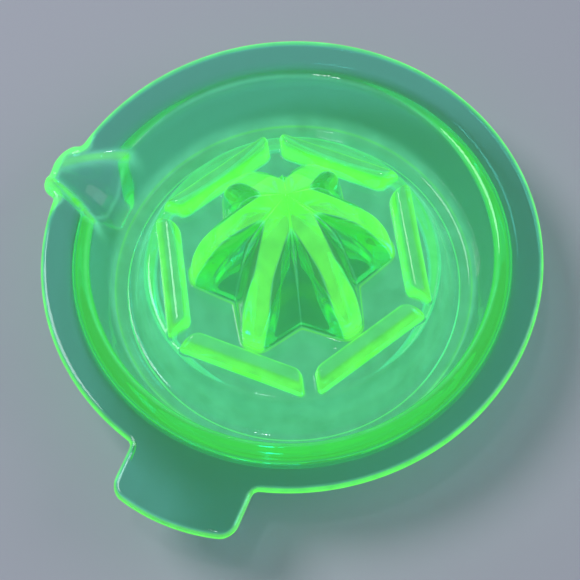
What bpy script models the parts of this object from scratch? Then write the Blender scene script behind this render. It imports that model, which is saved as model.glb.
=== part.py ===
"""Pressed glass citrus reamer: a round dish with a tab handle, a pouring spout, a fluted cone and a seed dam.

Metres, +Z up, standing on z = 0. The tab handle points along -Y and the spout along -X. The outlines below
are in millimetres from the axis of the cone, and the whole dish is set off from the origin so that the
origin is the middle of its box. The six ribs and the six seed bars face the same six directions.
"""

import math

import bmesh
import bpy
from mathutils import Matrix, Vector

MM = 0.001
GAP = 0.3  # left between neighbouring pieces
SECTORS = 6
SECTOR_DEG = 360 / SECTORS
HALF_SECTOR = math.radians(SECTOR_DEG / 2)
RING_STEPS = 72
SHARP_ANGLE = math.radians(32)

# Rim and wall
RIM_RADIUS = 76.0
RIM_TOP = 26.7
FLANGE_THICKNESS = 3.4
FOLD_RADIUS = 61.6
WALL_FOOT_RADIUS = 56.5
WALL_FOOT_HEIGHT = 5.8
WALL_THICKNESS = 4.6
FILLET = 3.6

# Juice channel, platform and foot
CHANNEL_TOP = 4.5
CHANNEL_BOTTOM = 1.3
CHANNEL_INNER_RADIUS = 50.2
FOOT_INNER_RADIUS = 52.7
FOOT_OUTER_RADIUS = 58.3
PLATFORM_TOP = 17.2
PLATFORM_THICKNESS = 4.2
PLATFORM_RADIUS = 45.8
PLATFORM_HOLE = 12.0
SHOULDER = 2.2

# Tab handle
TAB_HALF_WIDTH = 19.0
TAB_ROOT = 72.5
TAB_SIDE_END = 88.9
TAB_TIP = 92.0
TAB_CORNER = 5.0
TAB_THICKNESS = 3.0
TAB_EDGE_STEPS = 5

# Spout: distance from the axis, half width, trough half width, lip height and trough height
SPOUT_TIP = 83.0
SPOUT_STATIONS = (
    (57.6, 13.6, 11.2, 24.6, 13.0),
    (62.0, 13.2, 10.6, 26.4, 14.2),
    (68.0, 12.4, 9.6, 26.7, 15.8),
    (72.5, 11.4, 8.6, 26.4, 17.0),
    (76.0, 9.9, 7.0, 25.2, 18.0),
    (79.0, 7.8, 5.0, 23.4, 18.9),
    (81.4, 5.2, 2.8, 21.8, 19.6),
    (82.6, 2.8, 1.2, 20.9, 20.0),
    (SPOUT_TIP, 1.0, 0.4, 20.4, 20.0),
)
SPOUT_FLOOR = 3.8
SPOUT_CUT_INSIDE = 6.0
SPOUT_CUT_OUTSIDE = 6.0

# Cone
NOSE_RADIUS = 31.2
VALLEY_FOOT_RADIUS = 21.9
APEX_HEIGHT = 43.6
CREST_CURVE = ((NOSE_RADIUS, 0.0), (30.5, 18.0), (14.0, 34.1), (0.0, APEX_HEIGHT))
VALLEY_CURVE = ((VALLEY_FOOT_RADIUS, 0.0), (18.6, 16.8), (15.5, 29.3), (4.5, 39.3))
RIB_HEIGHTS = (0.0, 3.5, 7.5, 12.0, 16.5, 21.0, 25.0, 28.5, 31.5, 34.0, 36.0)
CAP_HEIGHTS = (36.0, 38.2, 40.2, 42.0, 43.2)
RIB_FOOT_HALF_WIDTH = 3.1
RIB_HALF_WIDTH = 4.0
RIB_SWELL_HEIGHT = 15.0
NOSE_ROUNDING = 1.3
CORE_SHARE = 0.7  # of the depth of a rib, from the crease outwards, that belongs to the hollow core

# The hollow under the cone, fluted like the outside
HOLLOW_HEIGHTS = (0.0, 5.0, 10.0, 15.0, 20.0, 24.0, 27.0, 29.5, 31.5, 32.8)
HOLLOW_UNDER_CREST = (6.0, 7.0)  # the crest's radius this much higher up, less this much
HOLLOW_UNDER_VALLEY = (3.0, 3.8)
HOLLOW_HALF_WIDTH = 2.0
HOLLOW_LEAST = 0.8

# Seed bars
BAR_APOTHEM = 35.9  # of the crest
BAR_OUTWARD = 4.3  # from the crest to the outer foot
BAR_INWARD = 3.1
BAR_SECTION = ((1.0, 0.0), (0.95, 0.32), (0.80, 0.60), (0.55, 0.835), (0.2, 0.98))
BAR_HEIGHT = 7.2
BAR_HALF_LENGTH = 18.7
BAR_END_ROUNDING = 2.4
BAR_END_STEPS = 5

GLASS_COLOURS = {
    "green": (0.24, 0.80, 0.42),
    "teal": (0.16, 0.55, 0.48),
    "bright": (0.32, 0.95, 0.22),
}
GLASS_ROUGHNESS = 0.04
GLASS_TRANSMISSION = 0.6


def clear_scene():
    for obj in list(bpy.data.objects):
        bpy.data.objects.remove(obj, do_unlink=True)


def glass_material(name, colour):
    material = bpy.data.materials.new(name)
    material.use_nodes = True
    shader = material.node_tree.nodes["Principled BSDF"]
    shader.inputs["Base Color"].default_value = (*colour, 1.0)
    shader.inputs["Roughness"].default_value = GLASS_ROUGHNESS
    shader.inputs["Transmission Weight"].default_value = GLASS_TRANSMISSION
    return material


def place(name, shape, axis, turn_deg=0.0):
    """Turns a bmesh in millimetres into an object that hangs from the dish's axis."""
    bmesh.ops.remove_doubles(shape, verts=shape.verts, dist=1e-4)
    bmesh.ops.recalc_face_normals(shape, faces=shape.faces)
    bmesh.ops.scale(shape, vec=(MM, MM, MM), verts=shape.verts)
    mesh = bpy.data.meshes.new(name)
    shape.to_mesh(mesh)
    shape.free()
    mesh.shade_smooth()
    mesh.set_sharp_from_angle(angle=SHARP_ANGLE)
    piece = bpy.data.objects.new(name, mesh)
    piece.parent = axis
    piece.rotation_euler.z = math.radians(turn_deg)
    bpy.context.collection.objects.link(piece)
    return piece


def glass_piece(name, shape, axis, colour, turn_deg=0.0):
    piece = place(name, shape, axis, turn_deg)
    piece.data.materials.append(glass_material(name + "_glass", GLASS_COLOURS[colour]))
    return piece


def cutter_piece(name, shape, axis):
    cutter = place(name, shape, axis)
    cutter.hide_render = True
    cutter.display_type = "WIRE"
    return cutter


def cut(piece, cutter):
    boolean = piece.modifiers.new("cut_by_" + cutter.name, "BOOLEAN")
    boolean.operation = "DIFFERENCE"
    boolean.solver = "EXACT"
    boolean.object = cutter


def turned(outline):
    """A closed outline of (radius, height) points, turned right round the axis."""
    shape = bmesh.new()
    columns = []
    for step in range(RING_STEPS):
        turn = Matrix.Rotation(2 * math.pi * step / RING_STEPS, 3, "Z")
        columns.append([shape.verts.new(turn @ Vector((radius, 0, height))) for radius, height in outline])
    for step, column in enumerate(columns):
        neighbour = columns[(step + 1) % RING_STEPS]
        for index in range(len(outline)):
            following = (index + 1) % len(outline)
            shape.faces.new((column[index], neighbour[index], neighbour[following], column[following]))
    return shape


def lofted(rings):
    """Rings of points, all with the same count, skinned from first to last and closed at both ends."""
    shape = bmesh.new()
    loops = [[shape.verts.new(point) for point in ring] for ring in rings]
    for lower, upper in zip(loops, loops[1:]):
        for index in range(len(lower)):
            following = (index + 1) % len(lower)
            shape.faces.new((lower[index], lower[following], upper[following], upper[index]))
    shape.faces.new(list(reversed(loops[0])))
    shape.faces.new(loops[-1])
    return shape


def prism(plan, low, high):
    return lofted([[(x, y, low) for x, y in plan], [(x, y, high) for x, y in plan]])


def bezier(curve, share):
    other = 1 - share
    weights = (other**3, 3 * other**2 * share, 3 * other * share**2, share**3)
    radius = sum(weight * point[0] for weight, point in zip(weights, curve))
    height = sum(weight * point[1] for weight, point in zip(weights, curve))
    return radius, height


def radius_at(curve, height):
    """The radius of a rising curve at a height, found by halving."""
    low, high = 0.0, 1.0
    for _ in range(40):
        middle = (low + high) / 2
        if bezier(curve, middle)[1] < height:
            low = middle
        else:
            high = middle
    return bezier(curve, low)[0]


def rib_section(height):
    """Crest radius, apothem of the two creases beside it, and half width of the crest at a height."""
    crest = radius_at(CREST_CURVE, height)
    crease = min(radius_at(VALLEY_CURVE, height), crest)
    rise = min(1.0, height / RIB_SWELL_HEIGHT)
    swollen = RIB_FOOT_HALF_WIDTH + (RIB_HALF_WIDTH - RIB_FOOT_HALF_WIDTH) * rise
    half_width = min(swollen, 0.94 * crest * math.tan(HALF_SECTOR))
    return crest, crease * math.cos(HALF_SECTOR), half_width


def panel_half_width(section, reach):
    """Half width of a rib where it is `reach` from the axis, between its crest and the creases."""
    crest, apothem, half_width = section
    crease_half = apothem * math.tan(HALF_SECTOR)
    share = (crest - reach) / max(crest - apothem, 1e-6)
    return half_width + (crease_half - half_width) * share


def in_sector(sector, reach, across):
    turn = HALF_SECTOR * (2 * sector + 1)
    x = reach * math.cos(turn) - across * math.sin(turn)
    y = reach * math.sin(turn) + across * math.cos(turn)
    return x, y


def split_points(ring):
    """Adds the middle of each side to a ring."""
    doubled = []
    for index, point in enumerate(ring):
        following = ring[(index + 1) % len(ring)]
        doubled.append(point)
        doubled.append(tuple((a + b) / 2 for a, b in zip(point, following)))
    return doubled


def core_ring(height, share):
    section = rib_section(height)
    crest, apothem, _ = section
    reach = apothem + share * (crest - apothem)
    half = panel_half_width(section, reach)
    ring = []
    for sector in range(SECTORS):
        ring.append(in_sector(sector, apothem, -apothem * math.tan(HALF_SECTOR)))
        ring.append(in_sector(sector, reach, -half))
        ring.append(in_sector(sector, reach, half))
    level = PLATFORM_TOP + GAP + height
    return split_points([(x, y, level) for x, y in ring])


def hollow_plan(height, grown=0.0):
    """The fluted outline of the hollow under the cone: a crease and both sides of a flute in each sector."""
    rise, wall = HOLLOW_UNDER_CREST
    reach = radius_at(CREST_CURVE, height + rise) - wall
    rise, wall = HOLLOW_UNDER_VALLEY
    crease = min(radius_at(VALLEY_CURVE, height + rise) - wall, reach)
    reach = max(reach, HOLLOW_LEAST) + grown
    apothem = max(crease, HOLLOW_LEAST) * math.cos(HALF_SECTOR) + grown
    half = min(HOLLOW_HALF_WIDTH + 0.5 * grown, 0.6 * reach * math.tan(HALF_SECTOR))
    plan = []
    for sector in range(SECTORS):
        plan.append(in_sector(sector, apothem, -apothem * math.tan(HALF_SECTOR)))
        plan.append(in_sector(sector, reach, -half))
        plan.append(in_sector(sector, reach, half))
    return plan


def hollow_ring(height):
    level = PLATFORM_TOP + GAP + height
    return split_points([(x, y, level) for x, y in hollow_plan(height)])


def reamer_core(axis):
    """The hollow, fluted body of the cone, which carries the crests of the ribs and ends in the blunt tip."""
    outside = [core_ring(height, CORE_SHARE) for height in RIB_HEIGHTS]
    outside += [core_ring(height, 1.0) for height in CAP_HEIGHTS]
    inside = [hollow_ring(height) for height in reversed(HOLLOW_HEIGHTS)]
    glass_piece("reamer_core", lofted(inside + outside), axis, "green")


def reamer_rib(axis, sector):
    """The solid crest of a rib, which lies along the core from the platform to the tip."""
    rings = []
    for height in RIB_HEIGHTS:
        section = rib_section(height)
        crest, apothem, half_width = section
        root = apothem + CORE_SHARE * (crest - apothem) + GAP
        root_half = panel_half_width(section, root)
        rounding = min(NOSE_ROUNDING, 0.35 * (crest - root))
        level = PLATFORM_TOP + GAP + height * (1 - GAP / RIB_HEIGHTS[-1])
        corner = (crest - 0.3 * rounding, -0.72 * half_width)
        right = [(root, -root_half), (crest - rounding, -half_width), corner]
        left = [(reach, -across) for reach, across in reversed(right)]
        rings.append([(reach, across, level) for reach, across in right + [(crest, 0.0)] + left])
    turn_deg = SECTOR_DEG * (sector + 0.5)
    glass_piece(f"reamer_rib_{sector + 1}", lofted(rings), axis, "bright", turn_deg)


def seed_bar(axis, sector):
    """A straight ridge with a rounded crest and mitred ends, one side of the hexagonal seed dam."""
    inner_end = BAR_HALF_LENGTH - BAR_END_ROUNDING
    fall = [math.sin(0.5 * math.pi * step / BAR_END_STEPS) for step in range(BAR_END_STEPS + 1)]
    ends = [inner_end + BAR_END_ROUNDING * part for part in fall]
    stations = [-end for end in reversed(ends)] + ends
    rings = []
    for across in stations:
        past = max(0.0, abs(across) - inner_end) / BAR_END_ROUNDING
        full = max(0.1, math.sqrt(max(0.0, 1 - past**2)))
        wide = 0.5 + 0.5 * full
        low = PLATFORM_TOP + GAP
        high = low + (BAR_HEIGHT - GAP) * full
        side = [(BAR_OUTWARD * wide * part, low + (high - low) * tall) for part, tall in BAR_SECTION]
        other = [(-BAR_INWARD * wide * part, low + (high - low) * tall) for part, tall in BAR_SECTION]
        mitre = math.copysign(math.tan(HALF_SECTOR), across) * abs(across) / BAR_HALF_LENGTH
        section = side + [(0.0, high)] + other[::-1]
        rings.append([(BAR_APOTHEM + offset, across + offset * mitre, level) for offset, level in section])
    turn_deg = SECTOR_DEG * (sector + 0.5)
    glass_piece(f"seed_bar_{sector + 1}", lofted(rings), axis, "bright", turn_deg)


def hollow_cutter(axis):
    plan = hollow_plan(0.0, GAP)
    return cutter_piece("hollow_cutter", prism(plan, 0.0, 2 * PLATFORM_TOP), axis)


def centre_platform(axis, cutter):
    under = PLATFORM_TOP - PLATFORM_THICKNESS
    outline = (
        (PLATFORM_HOLE, under),
        (PLATFORM_HOLE, PLATFORM_TOP),
        (PLATFORM_RADIUS - SHOULDER, PLATFORM_TOP),
        (PLATFORM_RADIUS - 0.4 * SHOULDER, PLATFORM_TOP - 0.25 * SHOULDER),
        (PLATFORM_RADIUS, PLATFORM_TOP - 0.8 * SHOULDER),
        (CHANNEL_INNER_RADIUS - GAP, CHANNEL_TOP + 1.5),
        (CHANNEL_INNER_RADIUS - 3.3, CHANNEL_BOTTOM + 2.0),
        (PLATFORM_RADIUS - 3.2, under - 0.7),
        (PLATFORM_RADIUS - 4.4, under),
    )
    cut(glass_piece("centre_platform", turned(outline), axis, "teal"), cutter)


def juice_channel(axis):
    """The floor of the trough round the platform, which carries the wall outside and the platform inside."""
    top = WALL_FOOT_HEIGHT - GAP
    outline = (
        (CHANNEL_INNER_RADIUS - 3.0, CHANNEL_BOTTOM + 1.7),
        (CHANNEL_INNER_RADIUS, CHANNEL_TOP + 1.2),
        (CHANNEL_INNER_RADIUS + 0.7, CHANNEL_TOP + 0.4),
        (CHANNEL_INNER_RADIUS + 2.0, CHANNEL_TOP),
        (WALL_FOOT_RADIUS - 1.3, CHANNEL_TOP),
        (WALL_FOOT_RADIUS - 0.3, CHANNEL_TOP + 0.4),
        (WALL_FOOT_RADIUS, top),
        (WALL_FOOT_RADIUS + WALL_THICKNESS, top),
        (WALL_FOOT_RADIUS + WALL_THICKNESS - 0.5, CHANNEL_BOTTOM + 1.7),
        (FOOT_OUTER_RADIUS + 0.6, CHANNEL_BOTTOM),
        (CHANNEL_INNER_RADIUS - 0.6, CHANNEL_BOTTOM),
    )
    glass_piece("juice_channel", turned(outline), axis, "green")


def foot_ring(axis):
    top = CHANNEL_BOTTOM - GAP
    outline = (
        (FOOT_INNER_RADIUS, top),
        (FOOT_INNER_RADIUS, 0.3),
        (FOOT_INNER_RADIUS + 0.3, 0.0),
        (FOOT_OUTER_RADIUS - 0.6, 0.0),
        (FOOT_OUTER_RADIUS, 0.4),
        (FOOT_OUTER_RADIUS + 0.3, top),
    )
    glass_piece("foot_ring", turned(outline), axis, "green")


def bowl_wall(axis, cutter):
    top = RIM_TOP - FLANGE_THICKNESS - GAP
    lean = (FOLD_RADIUS - WALL_FOOT_RADIUS) / (RIM_TOP - WALL_FOOT_HEIGHT)
    inner_top = WALL_FOOT_RADIUS + lean * (top - WALL_FOOT_HEIGHT)
    outer_top = inner_top + WALL_THICKNESS
    fillet_foot = outer_top - lean * FILLET
    outline = (
        (WALL_FOOT_RADIUS, WALL_FOOT_HEIGHT),
        (inner_top, top),
        (outer_top + FILLET, top),
        (outer_top + 0.45 * FILLET, top - 0.2 * FILLET),
        (outer_top + 0.1 * FILLET, top - 0.5 * FILLET),
        (fillet_foot, top - FILLET),
        (WALL_FOOT_RADIUS + WALL_THICKNESS, WALL_FOOT_HEIGHT),
    )
    cut(glass_piece("bowl_wall", turned(outline), axis, "green"), cutter)


def rim_flange(axis, cutters):
    """The wide flat rim, with a fully rounded outer edge and a soft fold down into the bowl."""
    half = FLANGE_THICKNESS / 2
    low = RIM_TOP - FLANGE_THICKNESS
    outline = (
        (FOLD_RADIUS - 0.8, low),
        (FOLD_RADIUS - 0.3, RIM_TOP - 1.4),
        (FOLD_RADIUS + 0.3, RIM_TOP - 0.4),
        (FOLD_RADIUS + 1.6, RIM_TOP),
        (RIM_RADIUS - half, RIM_TOP),
        (RIM_RADIUS - 0.3 * half, RIM_TOP - 0.3 * half),
        (RIM_RADIUS, RIM_TOP - half),
        (RIM_RADIUS - 0.3 * half, low + 0.3 * half),
        (RIM_RADIUS - half, low),
    )
    flange = glass_piece("rim_flange", turned(outline), axis, "teal")
    for cutter in cutters:
        cut(flange, cutter)


def tab_plan(inset):
    """Half of the tab's outline from the root to the middle of its outer edge, drawn in by `inset`."""
    side = TAB_HALF_WIDTH - inset
    points = [(side, -TAB_ROOT)]
    corner_x = TAB_HALF_WIDTH - TAB_CORNER
    corner_y = TAB_SIDE_END - TAB_CORNER
    radius = TAB_CORNER - inset
    for step in range(TAB_EDGE_STEPS + 1):
        angle = math.radians(75) * step / TAB_EDGE_STEPS
        points.append((corner_x + radius * math.cos(angle), -corner_y - radius * math.sin(angle)))
    start_x, start_y = points[-1]
    for step in range(1, TAB_EDGE_STEPS + 1):
        share = step / TAB_EDGE_STEPS
        bulge = 1 - (1 - share) ** 2
        points.append((start_x * (1 - share), start_y + (-TAB_TIP + inset - start_y) * bulge))
    return points


def tab_handle(axis):
    """The flat tab, flush with the top of the rim, with rounded outer edges."""
    half = TAB_THICKNESS / 2
    levels = ((0.0, half), (0.3, 0.35 * half), (1.0, 0.0), (1.7, 0.35 * half), (2.0, half))
    bottom = RIM_TOP - TAB_THICKNESS
    rings = []
    for rise, inset in levels:
        right = tab_plan(inset)
        left = [(-x, y) for x, y in reversed(right[:-1])]
        rings.append([(x, y, bottom + rise * half) for x, y in right + left])
    glass_piece("tab_handle", lofted(rings), axis, "teal")


def tab_cutter(axis):
    half_width = TAB_HALF_WIDTH + GAP
    root = -TAB_ROOT + GAP
    plan = ((-half_width, root), (-half_width, -TAB_TIP), (half_width, -TAB_TIP), (half_width, root))
    return cutter_piece("tab_cutter", prism(plan, 0.0, 2 * RIM_TOP), axis)


def spout_ring(station):
    reach, half_width, trough_half, lip, trough = station
    lower_lip = min(lip - 3.0, trough + 3.0)
    floor = trough - SPOUT_FLOOR
    side = [
        (0.0, trough),
        (0.42 * trough_half, trough + 0.16 * (lip - trough)),
        (0.8 * trough_half, trough + 0.62 * (lip - trough)),
        (trough_half, lip - 0.5),
        (0.5 * (trough_half + half_width), lip),
        (half_width, lip - 0.9),
        (half_width, lower_lip),
        (0.62 * half_width, floor + 0.35 * (lower_lip - floor)),
        (0.0, floor),
    ]
    other = [(-across, level) for across, level in reversed(side[1:-1])]
    return [(-reach, across, level) for across, level in side + other]


def pour_spout(axis):
    """The trough that runs out through the wall and the rim to a drooping lip."""
    rings = [spout_ring(station) for station in SPOUT_STATIONS]
    glass_piece("pour_spout", lofted(rings), axis, "bright")


def spout_cutter(axis):
    """The space of the spout with a gap all round it, open upwards."""
    above = 2 * RIM_TOP
    first, last = SPOUT_STATIONS[0], SPOUT_STATIONS[-1]
    inside = (first[0] - SPOUT_CUT_INSIDE, *first[1:])
    outside = (last[0] + SPOUT_CUT_OUTSIDE, *last[1:])
    stations = [inside, *SPOUT_STATIONS, outside]
    rings = []
    for station in stations:
        reach, half_width, _, lip, trough = station
        lower_lip = min(lip - 3.0, trough + 3.0) - GAP
        floor = trough - SPOUT_FLOOR - GAP
        across = half_width + GAP
        side = [(across, above), (across, lower_lip), (0.62 * across, floor + 0.35 * (lower_lip - floor))]
        other = [(-offset, level) for offset, level in reversed(side)]
        rings.append([(-reach, offset, level) for offset, level in side + [(0.0, floor)] + other])
    return cutter_piece("spout_cutter", lofted(rings), axis)


def build():
    clear_scene()
    axis = bpy.data.objects.new("dish_axis", None)
    axis.location = ((SPOUT_TIP - RIM_RADIUS) / 2 * MM, (TAB_TIP - RIM_RADIUS) / 2 * MM, 0.0)
    bpy.context.collection.objects.link(axis)
    spout_cut = spout_cutter(axis)
    tab_cut = tab_cutter(axis)
    foot_ring(axis)
    juice_channel(axis)
    centre_platform(axis, hollow_cutter(axis))
    bowl_wall(axis, spout_cut)
    rim_flange(axis, (spout_cut, tab_cut))
    tab_handle(axis)
    pour_spout(axis)
    reamer_core(axis)
    for sector in range(SECTORS):
        reamer_rib(axis, sector)
    for sector in range(SECTORS):
        seed_bar(axis, sector)


build()
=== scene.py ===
import math

import bpy
import numpy as np
from mathutils import Matrix, Vector


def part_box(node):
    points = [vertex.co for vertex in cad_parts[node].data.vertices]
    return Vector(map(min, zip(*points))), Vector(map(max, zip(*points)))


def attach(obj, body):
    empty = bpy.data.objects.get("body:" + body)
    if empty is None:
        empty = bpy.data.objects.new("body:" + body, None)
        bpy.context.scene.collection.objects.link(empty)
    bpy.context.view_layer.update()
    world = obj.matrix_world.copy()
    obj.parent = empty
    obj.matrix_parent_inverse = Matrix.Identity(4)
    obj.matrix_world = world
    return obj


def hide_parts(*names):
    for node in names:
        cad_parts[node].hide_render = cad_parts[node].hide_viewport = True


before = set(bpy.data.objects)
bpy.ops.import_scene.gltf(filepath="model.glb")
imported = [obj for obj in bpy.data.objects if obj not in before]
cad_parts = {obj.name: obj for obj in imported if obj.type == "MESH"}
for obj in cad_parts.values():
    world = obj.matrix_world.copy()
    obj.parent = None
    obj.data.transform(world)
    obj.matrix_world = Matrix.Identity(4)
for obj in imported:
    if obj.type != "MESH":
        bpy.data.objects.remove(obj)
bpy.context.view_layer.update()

MM = 0.001
SECTORS = 6
SECTOR_COLUMNS = 60
COLUMNS = SECTORS * SECTOR_COLUMNS
HALF_SECTOR = math.pi / SECTORS
TAN_HALF = math.tan(HALF_SECTOR)


def in_mm(value):
    return value / MM


# Sizes are in millimetres, from the cone's axis and from the table. These come from the frame's boxes.
rim_low, rim_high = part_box("rim_flange")
tab_low, tab_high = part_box("tab_handle")
spout_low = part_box("pour_spout")[0]
foot_low, foot_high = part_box("foot_ring")
core_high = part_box("reamer_core")[1]
platform_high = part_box("centre_platform")[1]
bar_low, bar_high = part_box("seed_bar_2")
rib_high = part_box("reamer_rib_2")[1]

AXIS = Vector(((foot_low.x + foot_high.x) / 2, (foot_low.y + foot_high.y) / 2, 0.0))
RIM_RADIUS = in_mm(rim_high.x - AXIS.x)
RIM_TOP = in_mm(rim_high.z)
FLANGE = in_mm(rim_high.z - rim_low.z)
TAB_HALF = in_mm(tab_high.x - tab_low.x) / 2
TAB_TIP = in_mm(AXIS.y - tab_low.y)
SPOUT_TIP = in_mm(AXIS.x - spout_low.x)
FOOT_INSET = 0.3
FOOT_OUTER = in_mm(foot_high.x - AXIS.x) - FOOT_INSET
PLATFORM_TOP = in_mm(platform_high.z)
BAR_INNER = in_mm(bar_low.y - AXIS.y)
BAR_OUTER = in_mm(bar_high.y - AXIS.y)
BAR_CREST_SHARE = 0.42
BAR_APOTHEM = BAR_INNER + BAR_CREST_SHARE * (BAR_OUTER - BAR_INNER)
BAR_HEIGHT = in_mm(bar_high.z) - PLATFORM_TOP
NOSE_RADIUS = in_mm(rib_high.y - AXIS.y)
APEX_RISE = 0.1
APEX_HEIGHT = in_mm(core_high.z) - PLATFORM_TOP + APEX_RISE

# Rim, wall and floor
BEAD = FLANGE / 2
FOLD_RADIUS = 61.6
FOLD_ROUNDING = 2.4
CHANNEL_TOP = 4.6
FLOOR_THICKNESS = 4.2
WALL_FOOT = 56.1
SHOULDER_RADIUS = 45.3
SLOPE_START = 46.2
SLOPE_FOOT = 50.4
FOOT_INNER = 52.7
TAB_EDGE_RADIUS = 58.0
TAB_CORNER = 4.0
TAB_SIDE = -40.0
ROOT_FILLET = 1.5

# Search for the outline, and spacing of the grid
OUTLINE_NEAR = 60.0
OUTLINE_FAR = 110.0
OUTLINE_HALVINGS = 40
OUTLINE_SAMPLES = 3000
GRADIENT_STEP = 0.05
FAR_OFF = 50.0
PROFILE_STEP = 1.0
PROFILE_ARC_STEP = 0.55
UNDER_STEP = 1.35
UNDER_ARC_STEP = 0.7
UNDER_TWIST_START = 20.0
RIM_RINGS = 13
BEAD_STEPS = 10
RIM_UNDER_RINGS = 8
CURVE_SAMPLES = 400
PLATFORM_SHARES = (0.1, 0.25, 0.45, 0.65, 0.85)
EDGE_RINGS = 8
MOUTH_SHARES = (0.2, 0.4, 0.6, 0.8, 0.93, 1.0)
HOLLOW_TIP_SHARES = (0.35, 0.7, 0.9)

# Spout
SPOUT_HALF = 9.7
SPOUT_CENTRE = 75.0
SPOUT_SIDE = -50.0
SPOUT_FILLET = 0.8 * ROOT_FILLET
TROUGH_START = 57.0
TROUGH_LEVEL_START = 75.0
TROUGH_LEVEL = 20.3
TROUGH_RISE = 0.1
TROUGH_BEND = 0.047
TROUGH_STEEPNESS = 2.1
TROUGH_ROUNDING = 2.5
TROUGH_WALL = 4.6
TROUGH_BLEND = 4.5
TROUGH_END = 79.0
TROUGH_WIDENING = 0.15
TROUGH_DEEP_ROUNDING = 0.5
TROUGH_INNER_OFFSET = 0.5
TROUGH_INNER_STEEPNESS = 2.0
TROUGH_INNER_ROUNDING = 1.5
TROUGH_UNDER_BLEND = 1.6
LIP_START = 73.5
LIP_DROOP = 0.075
LIP_RISE = 0.6
LIP_BLEND = 0.8

# Cone
CREST_CURVE = ((0.0, APEX_HEIGHT), (14.0, 34.1), (30.5, 18.0), (NOSE_RADIUS, 0.0))
VALLEY_CURVE = ((4.5, 39.3), (15.5, 29.3), (18.6, 16.8), (21.9, 0.0))
RIB_HALF_FOOT = 3.1
RIB_HALF = 4.0
RIB_SWELL = 15.0
RIB_SECTOR_SHARE = 0.92
VALLEY_CREST_SHARE = 1.1
NOSE_ROUNDING = 2.6
CREASE_ROUNDING = 0.7
CREASE_PANEL_SHARE = 0.3
CREASE_VALLEY_SHARE = 0.4
NOSE_PANEL_SHARE = 0.35
NOSE_HALF_SHARE = 0.85
RIDGE_LOW = 17.5
RIDGE_HIGH = 34.0
RIDGE_RISE = 2.0
RIDGE_HALF = 2.0
RIDGE_FADE = 6.0
CREASE_STEPS = 6
PANEL_STEPS = 12
NOSE_STEPS = 8
FLAT_STEPS = 4
TIP_DEPTHS = (0.25, 0.7, 1.3, 2.0, 2.8, 3.7)
CONE_TOP_DEPTH = 4.7
CONE_FOOT = 1.6
CONE_RINGS = 34
# Height above the platform and how far the cone flares there.
CONE_FILLET = ((0.9, 0.06), (0.45, 0.25), (0.12, 0.6), (0.0, 1.0))

# Hollow under the cone
HOLLOW_TOP = 33.0
HOLLOW_APEX = 34.6
HOLLOW_FOOT = -1.2
HOLLOW_RINGS = 26
HOLLOW_UNDER_CREST = 6.0
HOLLOW_IN_FROM_CREST = 7.0
HOLLOW_UNDER_VALLEY = 3.0
HOLLOW_IN_FROM_VALLEY = 3.8
HOLLOW_LEAST = 0.4
HOLLOW_VALLEY_SHARE = 1.05
HOLLOW_RIB_HALF = 2.0
HOLLOW_SECTOR_SHARE = 0.6
HOLLOW_ROUNDING = 2.4
HOLLOW_MOUTH_FLARE = 1.4
# Height above the mouth and how far the hollow flares there.
HOLLOW_FILLET = ((0.12, 0.85), (0.5, 0.4), (1.0, 0.12), (1.8, 0.0))

# Seed bars
BAR_HALF_LENGTH = 18.7
BAR_END_ROUNDING = 2.4
BAR_GATHER = 1.15
BAR_STEPS = 22
BAR_MARGIN = 0.7
BAR_NEAR_MARGIN = 0.2
BAR_COLUMN_SHARE = 0.9
BAR_CORNER_ROOM = 0.4
CORNER_APOTHEM = 32.0
CORNER_REACH = 38.0
CORNER_GROWTH = 0.82
CORNER_BLEND = 1.0

# Painted glow of each place, set feature by feature: 0 is clear glass and 1 is the brightest
GLOW_CREST = 0.95
GLOW_TIP = 0.75
GLOW_CREASE = 0.25
GLOW_LINE = 0.7
GLOW_PLATFORM = 0.36
GLOW_BAR_TOP = 0.47
GLOW_BAR_FLANK = 0.9
GLOW_CHANNEL = 0.38
GLOW_WALL = 0.02
GLOW_WALL_FOOT = 0.6
GLOW_FOLD = 0.25
GLOW_EDGE = 0.9
GLOW_TROUGH = 0.7
GLOW_UNDER = 0.02

# Where each glow starts and where it is full: heights above the platform on the cone
CREST_NARROWS = (12.0, 30.0)
CREST_FADES = (10.0, 26.0)
CREST_FADE = 0.14
CREST_FIRST_COLUMN = CREASE_STEPS + PANEL_STEPS + 2
CREST_COLUMNS_LOST = 3.0
CREST_EDGE_COLUMNS = 1.5
CREASE_COLUMNS = 3
TIP_GLOWS = (APEX_HEIGHT - 9.0, APEX_HEIGHT - 5.0)
FOOT_LINE_FADES = (0.2, 0.8)
# Shares of a bar's height
BAR_GLOW_STARTS = (0.0, 0.2)
FLANK_STARTS = (0.05, 0.30)
FLANK_FADES = (0.72, 0.95)
# Heights, radii and widths on the wall, the rim and the spout
WALL_FADES = (CHANNEL_TOP + 1.0, CHANNEL_TOP + 8.0)
WALL_RADII = (SLOPE_FOOT, SLOPE_FOOT + 2.0)
WALL_FOOT_WIDTH = 0.5
FOLD_LINE_RADIUS = FOLD_RADIUS + 0.6
FOLD_LINE_WIDTH = 0.6
LIP_REACHES = (60.0, 70.0)
LIP_HALF_WIDTHS = (9.0, 16.0)
EDGE_FADES = (0.5, 1.5)
LIP_EDGE_FADES = (1.4, 3.0)
TROUGH_REACHES = (56.0, 62.0)
TROUGH_HALF = 3.2
TROUGH_HALF_GROWTH = 0.5
TROUGH_LINE_WIDTH = 1.8


def smooth_min(a, b, soft):
    share = np.clip(0.5 + 0.5 * (b - a) / soft, 0.0, 1.0)
    return b + (a - b) * share - soft * share * (1.0 - share)


def round_union(a, b, radius):
    past = np.hypot(np.maximum(radius - a, 0.0), np.maximum(radius - b, 0.0))
    return np.maximum(radius, np.minimum(a, b)) - past


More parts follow.
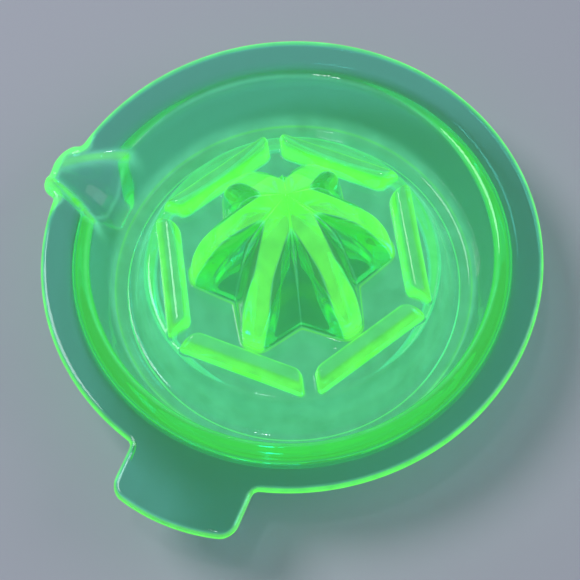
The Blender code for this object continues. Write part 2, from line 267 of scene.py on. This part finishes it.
def round_meet(a, b, radius):
    past = np.hypot(np.maximum(radius + a, 0.0), np.maximum(radius + b, 0.0))
    return np.minimum(-radius, np.maximum(a, b)) + past


def step_between(value, low, high):
    """0 up to `low`, 1 from `high` on, and a smooth step between."""
    share = np.clip((value - low) / (high - low), 0.0, 1.0)
    return share * share * (3 - 2 * share)


def bezier(curve, shares):
    other = 1.0 - shares
    weights = (other**3, 3 * other**2 * shares, 3 * other * shares**2, shares**3)
    return sum(weight[:, None] * np.array(point)[None, :] for weight, point in zip(weights, curve))


def arc_between(start, corner, end, count):
    """Points of a curve that leaves `start` towards `corner` and reaches `end`, both ends included."""
    shares = np.linspace(0.0, 1.0, count)[:, None]
    return (1 - shares) ** 2 * start + 2 * shares * (1 - shares) * corner + shares**2 * end


def rounded_path(corners, straight_step, arc_step):
    """Samples a path of (radius, height, cut) corners, each cut back that far and rounded."""
    points = [np.array(corners[0][:2])]
    for before, corner, after in zip(corners, corners[1:], corners[2:]):
        here = np.array(corner[:2])
        back = np.array(before[:2]) - here
        ahead = np.array(after[:2]) - here
        start = here + back / np.linalg.norm(back) * corner[2]
        end = here + ahead / np.linalg.norm(ahead) * corner[2]
        points += straight(points[-1], start, straight_step)
        count = max(3, int(math.ceil(2 * corner[2] / arc_step)) + 1)
        points += list(arc_between(start, here, end, count)[1:])
    points += straight(points[-1], np.array(corners[-1][:2]), straight_step)
    return np.array(points)


def straight(start, end, step):
    count = max(1, int(round(np.linalg.norm(end - start) / step)))
    return [start + (end - start) * (index + 1) / count for index in range(count)]


def ring(radii, angles, heights):
    radii, angles, heights = np.broadcast_arrays(radii, angles, heights)
    return np.stack([radii * np.cos(angles), radii * np.sin(angles), heights], axis=1).astype(float)


# --- The outline of the rim, and where the columns of the grid meet it ---


def outline_distance(x, y):
    """Signed distance to the rim's outline seen from above, with the tab and the spout blended in."""
    rim = np.hypot(x, y) - RIM_RADIUS
    tab_arc = np.hypot(x, y + TAB_TIP - TAB_EDGE_RADIUS) - TAB_EDGE_RADIUS
    tab = round_meet(np.abs(x) - TAB_HALF, tab_arc, TAB_CORNER)
    tab = np.where(y < TAB_SIDE, tab, FAR_OFF)
    reach = SPOUT_TIP - SPOUT_CENTRE
    stretched = np.hypot((x + SPOUT_CENTRE) / reach, y / SPOUT_HALF)
    spout = (stretched - 1.0) * reach
    spout = np.where(x < SPOUT_SIDE, spout, FAR_OFF)
    return round_union(round_union(rim, tab, ROOT_FILLET), spout, SPOUT_FILLET)


def outline_points(angles):
    """Where rays from the axis meet the outline."""
    near = np.full(angles.shape, OUTLINE_NEAR)
    far = np.full(angles.shape, OUTLINE_FAR)
    for _ in range(OUTLINE_HALVINGS):
        middle = (near + far) / 2
        inside = outline_distance(middle * np.cos(angles), middle * np.sin(angles)) < 0
        near = np.where(inside, middle, near)
        far = np.where(inside, far, middle)
    return np.stack([near * np.cos(angles), near * np.sin(angles)], axis=1)


# Column index, angle at the fold and angle at the outline, in degrees, where the spacing changes.
SPOUT_COLUMNS = 52
TAB_COLUMNS = 64
BETWEEN_COLUMNS = 46
SPOUT_MIDDLE = 173
KNOTS = (
    (SPOUT_MIDDLE - SPOUT_COLUMNS // 2, 168.0, 170.0),
    (SPOUT_MIDDLE + SPOUT_COLUMNS // 2, 192.0, 190.0),
    (SPOUT_MIDDLE + SPOUT_COLUMNS // 2 + BETWEEN_COLUMNS, 251.5, 253.0),
    (SPOUT_MIDDLE + SPOUT_COLUMNS // 2 + BETWEEN_COLUMNS + TAB_COLUMNS, 288.5, 287.0),
)


def knots_all_round(which):
    index = [knot[0] for knot in KNOTS]
    value = [knot[which] for knot in KNOTS]
    index = [i - COLUMNS for i in index] + index + [i + COLUMNS for i in index]
    value = [v - 360.0 for v in value] + value + [v + 360.0 for v in value]
    return np.array(index, float), np.array(value)


def fold_angles():
    index, value = knots_all_round(1)
    return np.radians(np.interp(np.arange(COLUMNS), index, value))


def outline_columns():
    """One outline point and outward direction per column, spaced evenly along each stretch."""
    index, value = knots_all_round(2)
    points = np.zeros((COLUMNS, 2))
    for first, last, start, end in zip(index, index[1:], value, value[1:]):
        dense = outline_points(np.radians(np.linspace(start, end, OUTLINE_SAMPLES)))
        along = np.concatenate([[0.0], np.cumsum(np.linalg.norm(np.diff(dense, axis=0), axis=1))])
        wanted = np.linspace(0.0, along[-1], int(last - first) + 1)[:-1]
        columns = (int(first) + np.arange(len(wanted))) % COLUMNS
        points[columns, 0] = np.interp(wanted, along, dense[:, 0])
        points[columns, 1] = np.interp(wanted, along, dense[:, 1])
    x, y = points.T
    gradient_x = outline_distance(x + GRADIENT_STEP, y) - outline_distance(x - GRADIENT_STEP, y)
    gradient_y = outline_distance(x, y + GRADIENT_STEP) - outline_distance(x, y - GRADIENT_STEP)
    normals = np.stack([gradient_x, gradient_y], axis=1)
    return points, normals / np.linalg.norm(normals, axis=1)[:, None]


# --- The spout, cut into whatever surface it crosses ---


def trough_height(x, y, drop):
    """Height of the spout's trough, or of a surface that lies `drop` below it."""
    reach = -x
    before = TROUGH_LEVEL_START - np.maximum(reach, TROUGH_START)
    bottom = TROUGH_LEVEL - TROUGH_RISE * before - TROUGH_BEND * np.maximum(0.0, before) ** 2
    rounding = TROUGH_ROUNDING + TROUGH_DEEP_ROUNDING * drop
    spread = np.maximum(np.abs(y) - TROUGH_WIDENING * np.maximum(0.0, TROUGH_END - reach), 0.0)
    sides = TROUGH_STEEPNESS * (np.hypot(spread, rounding) - rounding)
    past = TROUGH_START + TROUGH_INNER_OFFSET - reach
    inside = TROUGH_INNER_STEEPNESS * (past + np.hypot(past, TROUGH_INNER_ROUNDING))
    return bottom + sides + inside - drop


def lip_height(x):
    return RIM_TOP + LIP_RISE - LIP_DROOP * np.maximum(0.0, -x - LIP_START) ** 2


def cut_top(points):
    x, y, z = points.T
    lowered = smooth_min(z, trough_height(x, y, 0.0), TROUGH_BLEND)
    lowered = smooth_min(lowered, lip_height(x), LIP_BLEND)
    return np.stack([x, y, np.minimum(z, lowered)], axis=1)


def cut_under(points):
    x, y, z = points.T
    lowered = smooth_min(z, trough_height(x, y, TROUGH_WALL), TROUGH_UNDER_BLEND)
    lowered = smooth_min(lowered, lip_height(x) - FLANGE, LIP_BLEND)
    return np.stack([x, y, np.minimum(z, lowered)], axis=1)


# --- The cone and the seed bars ---


def radius_at(curve, height):
    dense = bezier(curve, np.linspace(0.0, 1.0, CURVE_SAMPLES))
    order = np.argsort(dense[:, 1])
    return float(np.interp(height, dense[order, 1], dense[order, 0]))


def flute_half(crest, valley, half, nose_cut, crease_cut, ridge):
    """Half a sector of a fluted section, from a crease to the middle of a rib, with its corners rounded."""
    crease = np.array([valley * math.cos(HALF_SECTOR), -valley * math.sin(HALF_SECTOR)])
    corner = np.array([crest, -half])
    panel = corner - crease
    length = np.linalg.norm(panel)
    panel = panel / length
    crease_cut = min(crease_cut, CREASE_PANEL_SHARE * length, CREASE_VALLEY_SHARE * valley)
    nose_cut = min(nose_cut, NOSE_PANEL_SHARE * length)
    crease_end = crease + panel * crease_cut
    across = np.array([math.cos(HALF_SECTOR), -math.sin(HALF_SECTOR)])
    crease_start = 2 * across * np.dot(across, crease_end) - crease_end
    nose_start = corner - panel * nose_cut
    nose_end = corner + np.array([0.0, 1.0]) * min(nose_cut, NOSE_HALF_SHARE * half)
    points = list(arc_between(crease_start, crease, crease_end, 2 * CREASE_STEPS + 1)[CREASE_STEPS:])
    for step in range(CREASE_STEPS):
        points[step] = points[step] + across * ridge * max(0.0, 1.0 - step / (CREASE_STEPS - 1))
    points += straight(crease_end, nose_start, np.linalg.norm(nose_start - crease_end) / PANEL_STEPS)
    points += list(arc_between(nose_start, corner, nose_end, NOSE_STEPS + 1)[1:])
    middle = np.array([crest, 0.0])
    points += straight(nose_end, middle, np.linalg.norm(middle - nose_end) / FLAT_STEPS)
    return np.array(points)


def valley_radius(height):
    top = VALLEY_CURVE[0]
    if height > top[1]:
        return top[0] * (APEX_HEIGHT - height) / (APEX_HEIGHT - top[1])
    return radius_at(VALLEY_CURVE, height)


def star_half(height, flare):
    """The outside of the cone at a height above the platform."""
    crest = radius_at(CREST_CURVE, height) + flare
    valley = min(valley_radius(height) + flare, VALLEY_CREST_SHARE * crest)
    half = RIB_HALF_FOOT + (RIB_HALF - RIB_HALF_FOOT) * min(1.0, height / RIB_SWELL)
    half = min(half, RIB_SECTOR_SHARE * crest * TAN_HALF)
    strength = float(np.clip((height - RIDGE_LOW) / (RIDGE_HIGH - RIDGE_LOW), 0.0, 1.0))
    strength *= float(np.clip((APEX_HEIGHT - height) / RIDGE_FADE, 0.0, 1.0))
    crease_cut = CREASE_ROUNDING + RIDGE_HALF * strength
    return flute_half(crest, valley, half, NOSE_ROUNDING, crease_cut, RIDGE_RISE * strength)


def hollow_half(height, flare):
    """The hollow under the cone, fluted like the outside, at a height above the platform."""
    height = max(height, 0.0)
    crest = radius_at(CREST_CURVE, height + HOLLOW_UNDER_CREST) - HOLLOW_IN_FROM_CREST
    crest = max(crest, HOLLOW_LEAST) + flare
    valley = radius_at(VALLEY_CURVE, height + HOLLOW_UNDER_VALLEY) - HOLLOW_IN_FROM_VALLEY
    valley = min(max(valley, HOLLOW_LEAST) + flare, HOLLOW_VALLEY_SHARE * crest)
    half = min(HOLLOW_RIB_HALF, HOLLOW_SECTOR_SHARE * crest * TAN_HALF)
    return flute_half(crest, valley, half, HOLLOW_ROUNDING, HOLLOW_ROUNDING, 0.0)


def all_sectors(half_points, heights):
    """A ring made of one half sector, mirrored and turned six times."""
    mirrored = half_points[-2:0:-1] * np.array([1.0, -1.0])
    sector = np.concatenate([half_points, mirrored])
    half_heights = np.broadcast_to(heights, len(half_points))
    sector_heights = np.concatenate([half_heights, half_heights[-2:0:-1]])
    rings = []
    for index in range(SECTORS):
        turn = HALF_SECTOR * (2 * index + 1)
        x = sector[:, 0] * math.cos(turn) - sector[:, 1] * math.sin(turn)
        y = sector[:, 0] * math.sin(turn) + sector[:, 1] * math.cos(turn)
        rings.append(np.stack([x, y, sector_heights], axis=1))
    return np.concatenate(rings)


def platform_height(radii):
    path = upper_path(0.0)
    return np.interp(radii, path[:, 0], path[:, 1])


def bar_end(apothem):
    return BAR_HALF_LENGTH + (apothem - BAR_APOTHEM) * TAN_HALF


def bar_height(apothem, across):
    """Height of the seed bars above the platform, in a sector's own directions."""
    offset = apothem - BAR_APOTHEM
    base = np.where(offset > 0, BAR_OUTER - BAR_APOTHEM, BAR_APOTHEM - BAR_INNER)
    past = (np.abs(across) - bar_end(apothem)) / BAR_END_ROUNDING + 1.0
    full = np.sqrt(np.clip(1.0 - np.clip(past, 0.0, 1.0) ** 2, 0.0, 1.0))
    section = np.sqrt(np.clip(1.0 - (offset / (base * (0.5 + 0.5 * full))) ** 2, 0.0, 1.0))
    return BAR_HEIGHT * full * section


def bar_ring(apothem):
    """A six-sided ring whose corners are rounded off, with its columns gathered along the bars."""
    shares = np.linspace(-1.0, 0.0, SECTOR_COLUMNS // 2 + 1)
    end = bar_end(apothem)
    corner = max(apothem * TAN_HALF, end + BAR_CORNER_ROOM)
    across = np.where(
        shares < -BAR_COLUMN_SHARE,
        -end - (corner - end) * (-shares - BAR_COLUMN_SHARE) / (1.0 - BAR_COLUMN_SHARE),
        -end * np.sin(-shares / BAR_COLUMN_SHARE * BAR_GATHER) / math.sin(BAR_GATHER),
    )
    reach = np.hypot(apothem, across)
    limit = CORNER_REACH + (apothem - CORNER_APOTHEM) * CORNER_GROWTH
    kept = smooth_min(reach, np.full_like(reach, limit), CORNER_BLEND)
    scale = np.minimum(1.0, kept / reach)
    half = np.stack([apothem * scale, across * scale], axis=1)
    floor = platform_height(np.hypot(half[:, 0], half[:, 1]))
    return all_sectors(half, floor + bar_height(half[:, 0], half[:, 1]))


# --- The grid, from the tip of the cone over the rim and underneath to the top of the hollow ---


def cone_rings():
    near_tip = APEX_HEIGHT - np.array(TIP_DEPTHS)
    lower = np.linspace(APEX_HEIGHT - CONE_TOP_DEPTH, CONE_FOOT, CONE_RINGS)
    steps = [(height, 0.0) for height in [*near_tip, *lower]] + list(CONE_FILLET)
    return [all_sectors(star_half(height, flare), PLATFORM_TOP + height) for height, flare in steps]


def platform_rings(inner):
    turns = np.linspace(math.pi, 0.0, BAR_STEPS + 1)
    middle = (BAR_INNER + BAR_OUTER) / 2
    across_bar = middle + (BAR_OUTER - middle) * np.cos(turns)
    inner_edge, outer_edge = across_bar[0], across_bar[-1]
    first = inner_edge - BAR_MARGIN
    outer = bar_ring(first)
    rings = [inner + (outer - inner) * share for share in PLATFORM_SHARES]
    apothems = [first, inner_edge - BAR_NEAR_MARGIN, *across_bar]
    apothems += [outer_edge + BAR_NEAR_MARGIN, outer_edge + BAR_MARGIN]
    rings += [bar_ring(apothem) for apothem in apothems]
    last = rings[-1]
    even = 2 * math.pi * np.arange(COLUMNS) / COLUMNS
    edge = ring(SLOPE_START, even, 0.0)
    for share in np.linspace(0.0, 1.0, EDGE_RINGS + 1)[1:]:
        points = last + (edge - last) * share
        points[:, 2] = platform_height(np.hypot(points[:, 0], points[:, 1]))
        rings.append(points)
    return rings


def upper_path(start_radius):
    """The platform's edge, the channel, the wall and the fold, as points of radius and height."""
    path = rounded_path(
        (
            (SHOULDER_RADIUS - 3.0, PLATFORM_TOP, 0),
            (SHOULDER_RADIUS, PLATFORM_TOP, 1.6),
            (SLOPE_FOOT, CHANNEL_TOP, 2.2),
            (WALL_FOOT, CHANNEL_TOP, 1.6),
            (FOLD_RADIUS, RIM_TOP, FOLD_ROUNDING),
            (FOLD_RADIUS + FOLD_ROUNDING + 0.5, RIM_TOP, 0),
        ),
        PROFILE_STEP,
        PROFILE_ARC_STEP,
    )
    return path[path[:, 0] > start_radius]


def under_path():
    """The underside from the rim inwards, over the foot ring to the floor under the platform."""
    return rounded_path(
        (
            (70.0, RIM_TOP - FLANGE, 0),
            (66.3, RIM_TOP - FLANGE, 3.4),
            (61.3, 5.0, 3.8),
            (FOOT_OUTER - 0.2, 0.0, 0.8),
            (FOOT_INNER, 0.0, 0.45),
            (FOOT_INNER - 0.5, 1.3, 0.5),
            (47.4, 1.8, 1.3),
            (42.3, PLATFORM_TOP - FLOOR_THICKNESS, 1.8),
            (35.0, PLATFORM_TOP - FLOOR_THICKNESS, 0),
        ),
        UNDER_STEP,
        UNDER_ARC_STEP,
    )


def hollow_rings(outer):
    under = PLATFORM_TOP - FLOOR_THICKNESS
    mouth = all_sectors(hollow_half(0.0, HOLLOW_MOUTH_FLARE), under)
    rings = [outer + (mouth - outer) * share for share in MOUTH_SHARES]
    for rise, flare in HOLLOW_FILLET:
        rings.append(all_sectors(hollow_half(0.0, flare), under + rise))
    for height in np.linspace(HOLLOW_FOOT, HOLLOW_TOP, HOLLOW_RINGS):
        rings.append(all_sectors(hollow_half(height, 0.0), PLATFORM_TOP + height))
    last = rings[-1]
    for share in HOLLOW_TIP_SHARES:
        ring_in = last * np.array([1 - share, 1 - share, 1.0])
        ring_in[:, 2] += (HOLLOW_APEX - HOLLOW_TOP) * math.sin(share * math.pi / 2)
        rings.append(ring_in)
    return rings


def build_rings():
    """Every ring of the grid in order, and how many there are at the end of each region."""
    even = 2 * math.pi * np.arange(COLUMNS) / COLUMNS
    fold = fold_angles()
    outline, outward = outline_columns()
    rings = cone_rings()
    ends = {"cone": len(rings)}
    rings += platform_rings(rings[-1])
    ends["platform"] = len(rings)
    path = upper_path(SLOPE_START + 0.1)
    for radius, height in path:
        share = step_between(radius, SHOULDER_RADIUS, WALL_FOOT)
        rings.append(cut_top(ring(radius, even + (fold - even) * share, height)))
    ends["wall"] = len(rings)
    inner = outline - outward * BEAD
    edge = ring(path[-1][0], fold, RIM_TOP)
    edge_top = np.column_stack([inner, np.full(COLUMNS, RIM_TOP)])
    shares = np.linspace(0.0, 1.0, RIM_RINGS + 1)[1:]
    rings += [cut_top(edge + (edge_top - edge) * share) for share in shares]
    top = rings[-1][:, 2]
    edge_under = np.column_stack([inner, np.full(COLUMNS, RIM_TOP - FLANGE)])
    bottom = cut_under(edge_under)[:, 2]
    for step in range(1, BEAD_STEPS):
        angle = math.pi / 2 - math.pi * step / BEAD_STEPS
        spread = inner + outward * BEAD * math.cos(angle)
        height = (top + bottom) / 2 + (top - bottom) / 2 * math.sin(angle)
        rings.append(np.column_stack([spread, height]))
    ends["bead"] = len(rings)
    path = under_path()
    start = ring(path[0][0], fold, RIM_TOP - FLANGE)
    shares = np.linspace(0.0, 1.0, RIM_UNDER_RINGS + 1)[:-1]
    rings += [cut_under(edge_under + (start - edge_under) * share) for share in shares]
    for radius, height in path:
        share = step_between(radius, UNDER_TWIST_START, FOOT_INNER)
        rings.append(cut_under(ring(radius, even + (fold - even) * share, height)))
    rings += hollow_rings(rings[-1])
    return rings, ends


# --- How strongly each place glows ---


def in_sector(points):
    """Distance along and across the nearest rib's direction."""
    angles = np.arctan2(points[:, 1], points[:, 0])
    turns = HALF_SECTOR * (2 * np.floor(angles / (2 * HALF_SECTOR)) + 1)
    radii = np.hypot(points[:, 0], points[:, 1])
    return radii * np.cos(angles - turns), radii * np.sin(angles - turns)


def cone_glow(points):
    column = np.arange(COLUMNS) % SECTOR_COLUMNS
    column = np.minimum(column, SECTOR_COLUMNS - column)
    height = points[:, 2] - PLATFORM_TOP
    corner = CREST_FIRST_COLUMN + CREST_COLUMNS_LOST * step_between(height, *CREST_NARROWS)
    crest = step_between(column, corner, corner + CREST_EDGE_COLUMNS)
    crest *= 1.0 - CREST_FADE * step_between(height, *CREST_FADES)
    crease = 1.0 - step_between(column, 0, CREASE_COLUMNS)
    side = np.maximum(GLOW_CREST * crest, GLOW_CREASE * crease)
    top = step_between(height, *TIP_GLOWS)
    foot = 1.0 - step_between(height, *FOOT_LINE_FADES)
    return np.maximum(np.maximum(side, GLOW_TIP * top), GLOW_LINE * foot)


def platform_glow(points):
    apothem, across = in_sector(points)
    rise = bar_height(apothem, across) / BAR_HEIGHT
    flank = step_between(rise, *FLANK_STARTS) * (1.0 - step_between(rise, *FLANK_FADES))
    top = (GLOW_BAR_TOP - GLOW_PLATFORM) * step_between(rise, *BAR_GLOW_STARTS)
    return GLOW_PLATFORM + top + (GLOW_BAR_FLANK - GLOW_BAR_TOP) * flank


def wall_glow(points):
    radii = np.hypot(points[:, 0], points[:, 1])
    high = step_between(points[:, 2], *WALL_FADES) * step_between(radii, *WALL_RADII)
    wall = GLOW_CHANNEL + (GLOW_WALL - GLOW_CHANNEL) * high
    foot_line = GLOW_WALL_FOOT * np.exp(-(((radii - WALL_FOOT) / WALL_FOOT_WIDTH) ** 2))
    fold_line = GLOW_FOLD * np.exp(-(((radii - FOLD_LINE_RADIUS) / FOLD_LINE_WIDTH) ** 2))
    lines = np.maximum(foot_line, fold_line)
    return np.maximum(np.maximum(wall, lines), trough_glow(points[:, 0], points[:, 1]))


def rim_glow(points):
    """The lit edge of the rim, wider round the spout's lip."""
    x, y = points[:, 0], points[:, 1]
    past = -outline_distance(x, y)
    lip = step_between(-x, *LIP_REACHES) * (1.0 - step_between(np.abs(y), *LIP_HALF_WIDTHS))
    low, high = (plain + wider * lip for plain, wider in zip(EDGE_FADES, LIP_EDGE_FADES))
    edge = 1.0 - step_between(past, low, high)
    return np.maximum(GLOW_EDGE * edge, trough_glow(x, y))


def trough_glow(x, y):
    """Painted glow along both sides of the spout's trough."""
    half_width = TROUGH_HALF + TROUGH_HALF_GROWTH * (TROUGH_END - np.minimum(-x, TROUGH_END))
    beside = np.exp(-(((np.abs(y) - half_width) / TROUGH_LINE_WIDTH) ** 2))
    return GLOW_TROUGH * beside * step_between(-x, *TROUGH_REACHES)


def glow_of(rings, ends):
    """The glow of every point of the grid."""
    glow = [np.full(COLUMNS, GLOW_UNDER) for _ in rings]
    cone_foot = ends["cone"] - 1
    regions = (
        (0, cone_foot, cone_glow),
        (cone_foot, ends["platform"], platform_glow),
        (ends["platform"], ends["wall"], wall_glow),
        (ends["wall"], ends["bead"], rim_glow),
    )
    for first, last, glow_at in regions:
        for row in range(first, last):
            glow[row] = glow_at(rings[row])
    return np.concatenate([[GLOW_CREST], *glow, [GLOW_UNDER]])


def glass_mesh(name):
    rings, ends = build_rings()
    tip = np.array([[0.0, 0.0, PLATFORM_TOP + APEX_HEIGHT]])
    hollow_tip = np.array([[0.0, 0.0, PLATFORM_TOP + HOLLOW_APEX]])
    points = np.concatenate([tip, *rings, hollow_tip])
    start = 1 + COLUMNS * np.arange(len(rings))
    columns = np.arange(COLUMNS)
    following = (columns + 1) % COLUMNS
    quads = []
    for this, after in zip(start, start[1:]):
        corners = [this + columns, after + columns, after + following, this + following]
        quads.append(np.stack(corners, axis=1))
    quads = np.concatenate(quads)
    first_fan = np.stack([np.zeros(COLUMNS, int), start[0] + columns, start[0] + following], axis=1)
    last = np.full(COLUMNS, len(points) - 1)
    last_fan = np.stack([last, start[-1] + following, start[-1] + columns], axis=1)
    loops = np.concatenate([quads.ravel(), first_fan.ravel(), last_fan.ravel()])
    sizes = np.concatenate([np.full(len(quads), 4), np.full(2 * COLUMNS, 3)])
    starts = np.concatenate([[0], np.cumsum(sizes)[:-1]])
    mesh = bpy.data.meshes.new(name)
    mesh.vertices.add(len(points))
    mesh.vertices.foreach_set("co", (points * MM + np.array(AXIS)).astype(np.float32).ravel())
    mesh.loops.add(len(loops))
    mesh.loops.foreach_set("vertex_index", loops.astype(np.int32))
    mesh.polygons.add(len(sizes))
    mesh.polygons.foreach_set("loop_start", starts.astype(np.int32))
    mesh.polygons.foreach_set("loop_total", sizes.astype(np.int32))
    mesh.update(calc_edges=True)
    mesh.validate()
    mesh.shade_smooth()
    glow = mesh.attributes.new("glow", "FLOAT", "POINT")
    glow.data.foreach_set("value", glow_of(rings, ends).astype(np.float32))
    return mesh


# --- Materials ---

SURFACE_TINT = (0.38, 0.71, 0.75, 1.0)
SURFACE_ROUGHNESS = 0.03
GLASS_IOR = 1.51
# Share of the painted glow, and its colour there
FAINT_GLOW = (0.38, (0.22, 1.0, 0.58, 1.0))
STRONG_GLOW = (0.62, (0.16, 1.0, 0.06, 1.0))
GLOW_NOISE = {"Scale": 160.0, "Detail": 3.0}
GLOW_NOISE_RANGE = {"From Min": 0.3, "From Max": 0.7, "To Min": 0.46, "To Max": 0.70}
WAVE_NOISE = {"Scale": 70.0, "Detail": 1.5}
WAVE_BUMP = {"Strength": 0.35, "Distance": 0.5 * MM}
INNER_GLOW = {"Color": (0.45, 1.0, 0.12, 1.0), "Strength": 29.0}
INNER_TINT = {"Color": (0.0, 0.80, 0.72, 1.0), "Density": 180.0}
FLOOR_COLOUR = (0.56, 0.58, 0.64, 1.0)
FLOOR_ROUGHNESS = 0.8


def add_node(tree, kind, values=None):
    node = tree.nodes.new(kind)
    for socket, value in (values or {}).items():
        node.inputs[socket].default_value = value
    return node


def glow_colour(tree, glow):
    hue = add_node(tree, "ShaderNodeValToRGB")
    for element, (position, colour) in zip(hue.color_ramp.elements, (FAINT_GLOW, STRONG_GLOW)):
        element.position = position
        element.color = colour
    tree.links.new(glow.outputs["Fac"], hue.inputs["Fac"])
    return hue.outputs["Color"]


def glow_strength(tree, glow, place):
    """The glow at each point, slightly uneven."""
    noise = add_node(tree, "ShaderNodeTexNoise", GLOW_NOISE)
    tree.links.new(place, noise.inputs["Vector"])
    uneven = add_node(tree, "ShaderNodeMapRange", GLOW_NOISE_RANGE)
    tree.links.new(noise.outputs["Fac"], uneven.inputs["Value"])
    strength = add_node(tree, "ShaderNodeMath")
    strength.operation = "MULTIPLY"
    tree.links.new(glow.outputs["Fac"], strength.inputs[0])
    tree.links.new(uneven.outputs["Result"], strength.inputs[1])
    return strength.outputs["Value"]


def pressed_waves(tree, place):
    """The slight waves that a press leaves in the surface."""
    noise = add_node(tree, "ShaderNodeTexNoise", WAVE_NOISE)
    tree.links.new(place, noise.inputs["Vector"])
    bump = add_node(tree, "ShaderNodeBump", WAVE_BUMP)
    tree.links.new(noise.outputs["Fac"], bump.inputs["Height"])
    return bump.outputs["Normal"]


def glass_inside(tree):
    # Painted glow: the inside of the glass emits green light of its own; the absorption is the glass's
    # tint.
    inner_glow = add_node(tree, "ShaderNodeEmission", INNER_GLOW)
    tint = add_node(tree, "ShaderNodeVolumeAbsorption", INNER_TINT)
    both = add_node(tree, "ShaderNodeAddShader")
    tree.links.new(inner_glow.outputs["Emission"], both.inputs[0])
    tree.links.new(tint.outputs["Volume"], both.inputs[1])
    return both.outputs["Shader"]


def uranium_glass():
    material = bpy.data.materials.new("uranium_glass")
    material.use_nodes = True
    material.cycles.emission_sampling = "NONE"
    tree = material.node_tree
    tree.nodes.clear()
    output = add_node(tree, "ShaderNodeOutputMaterial")
    shader = add_node(tree, "ShaderNodeBsdfPrincipled")
    shader.inputs["Base Color"].default_value = SURFACE_TINT
    shader.inputs["Roughness"].default_value = SURFACE_ROUGHNESS
    shader.inputs["IOR"].default_value = GLASS_IOR
    shader.inputs["Transmission Weight"].default_value = 1.0
    glow = add_node(tree, "ShaderNodeAttribute")
    glow.attribute_name = "glow"
    place = add_node(tree, "ShaderNodeTexCoord").outputs["Object"]
    # Painted glow: the surface emits green light wherever the glow attribute is set, with no lamp behind
    # it.
    tree.links.new(glow_colour(tree, glow), shader.inputs["Emission Color"])
    tree.links.new(glow_strength(tree, glow, place), shader.inputs["Emission Strength"])
    tree.links.new(pressed_waves(tree, place), shader.inputs["Normal"])
    tree.links.new(shader.outputs["BSDF"], output.inputs["Surface"])
    tree.links.new(glass_inside(tree), output.inputs["Volume"])
    return material


def floor_material():
    material = bpy.data.materials.new("floor_matt")
    material.use_nodes = True
    shader = material.node_tree.nodes["Principled BSDF"]
    shader.inputs["Base Color"].default_value = FLOOR_COLOUR
    shader.inputs["Roughness"].default_value = FLOOR_ROUGHNESS
    return material


# --- Scene ---

FLOOR_GAP = 0.05 * MM
FLOOR_HALF = 4.0
WORLD_COLOUR = (0.80, 0.85, 1.0, 1.0)
WORLD_STRENGTH = 0.26
# Name, place, size, power and colour
LAMPS = (
    ("soft_top", (-0.75, 0.05, 1.05), 0.60, 6.0, (0.93, 0.95, 1.0)),
    ("glint", (-0.12, -0.05, 1.2), 0.07, 0.45, (0.9, 0.9, 1.0)),
    ("soft_side", (1.1, 0.5, 0.8), 1.0, 2.5, (1.0, 0.98, 0.95)),
)
MOST_BOUNCES = 32
MOST_VOLUME_BOUNCES = 4


def build_glass():
    mesh = glass_mesh("reamer_glass")
    mesh.materials.append(uranium_glass())
    glass = bpy.data.objects.new("reamer_glass", mesh)
    bpy.context.scene.collection.objects.link(glass)
    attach(glass, "root")
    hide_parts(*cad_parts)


def build_floor():
    mesh = bpy.data.meshes.new("floor")
    half, low = FLOOR_HALF, -FLOOR_GAP
    corners = [(-half, -half, low), (half, -half, low), (half, half, low), (-half, half, low)]
    mesh.from_pydata(corners, [], [(0, 1, 2, 3)])
    mesh.materials.append(floor_material())
    floor = bpy.data.objects.new("floor", mesh)
    bpy.context.scene.collection.objects.link(floor)


def area_light(name, place, size, power, colour):
    data = bpy.data.lights.new(name, "AREA")
    data.shape = "DISK"
    data.size = size
    data.energy = power
    data.color = colour
    lamp = bpy.data.objects.new(name, data)
    lamp.location = place
    lamp.rotation_euler = (AXIS - Vector(place)).to_track_quat("-Z", "Y").to_euler()
    bpy.context.scene.collection.objects.link(lamp)


def build_light():
    world = bpy.data.worlds.new("studio")
    world.use_nodes = True
    background = world.node_tree.nodes["Background"]
    background.inputs["Color"].default_value = WORLD_COLOUR
    background.inputs["Strength"].default_value = WORLD_STRENGTH
    bpy.context.scene.world = world
    for lamp in LAMPS:
        area_light(*lamp)


CAMERA_AZIMUTH = math.radians(26.62)
CAMERA_ELEVATION = math.radians(64.82)
CAMERA_ROLL = math.radians(-4.69)
CAMERA_DISTANCE = 0.450
CAMERA_SHIFT_RIGHT = -0.00123
CAMERA_SHIFT_UP = -0.00834
CAMERA_LENS = 90.7
CAMERA_SENSOR = 36.0
CAMERA_CLIP = (0.01, 20.0)


def build_camera():
    azimuth, elevation = CAMERA_AZIMUTH, CAMERA_ELEVATION
    back = Vector(
        (
            math.sin(azimuth) * math.cos(elevation),
            -math.cos(azimuth) * math.cos(elevation),
            math.sin(elevation),
        )
    )
    right = Vector((math.cos(azimuth), math.sin(azimuth), 0.0))
    up = back.cross(right)
    data = bpy.data.cameras.new("camera")
    data.lens = CAMERA_LENS
    data.sensor_width = CAMERA_SENSOR
    data.clip_start, data.clip_end = CAMERA_CLIP
    camera = bpy.data.objects.new("camera", data)
    target = AXIS + Vector((0.0, 0.0, PLATFORM_TOP * MM))
    place = target + back * CAMERA_DISTANCE + right * CAMERA_SHIFT_RIGHT + up * CAMERA_SHIFT_UP
    turned_right = right * math.cos(CAMERA_ROLL) + up * math.sin(CAMERA_ROLL)
    turned_up = up * math.cos(CAMERA_ROLL) - right * math.sin(CAMERA_ROLL)
    facing = Matrix((turned_right, turned_up, back)).transposed().to_4x4()
    camera.matrix_world = Matrix.Translation(place) @ facing
    bpy.context.scene.collection.objects.link(camera)
    bpy.context.scene.camera = camera


def build():
    build_glass()
    build_floor()
    build_light()
    build_camera()
    scene = bpy.context.scene
    scene.view_settings.view_transform = "Standard"
    scene.cycles.max_bounces = MOST_BOUNCES
    scene.cycles.transmission_bounces = MOST_BOUNCES
    scene.cycles.volume_bounces = MOST_VOLUME_BOUNCES


build()
